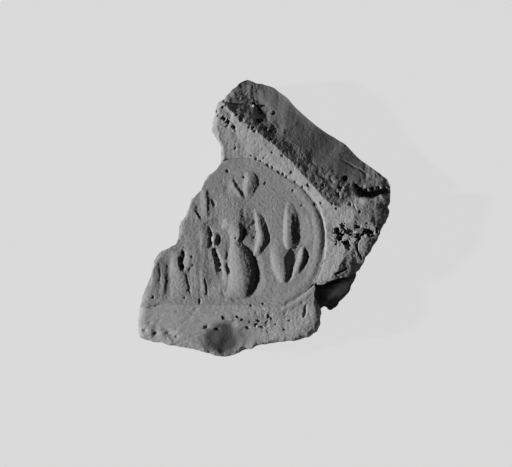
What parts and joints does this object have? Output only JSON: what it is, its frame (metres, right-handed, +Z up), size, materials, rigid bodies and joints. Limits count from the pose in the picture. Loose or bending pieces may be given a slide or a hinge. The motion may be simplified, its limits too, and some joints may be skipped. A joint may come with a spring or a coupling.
{
  "type": "clay bulla",
  "caption": "Broken corner of an ancient clay bulla: a hand-pressed lump with an oval seal impression, a thick rolled rim and a string channel on its flat back.",
  "frame": {"origin": "middle of the underside, at the centre of the fragment's outline", "axes": "+Z up out of the seal impression, away from the flat back; +Y towards the rolled rim's side; +X towards the side lump"},
  "size_m": [0.033, 0.036, 0.0099],
  "materials": {
    "dry_clay": "dry matte clay, fine sandy grain, smooth where fingers pressed it",
    "back_clay": "coarser dry clay with a rough broken surface",
    "pale_grit": "pale matte mineral grain"
  },
  "bodies": {
    "root": {"back_wad": "back_clay", "seal_face": "dry_clay", "rim_roll": "dry_clay", "side_lump": "dry_clay", "edge_chip": "dry_clay", "bottom_lip": "dry_clay", "grit_grain_hand_hole": "pale_grit", "grit_grain_crater_top": "pale_grit", "grit_grain_crater_low": "pale_grit", "grit_grain_crater_left": "pale_grit", "grit_grain_roll_end": "pale_grit", "grit_grain_roll_edge": "pale_grit", "grit_grain_lip": "pale_grit"}
  },
  "joints": []
}
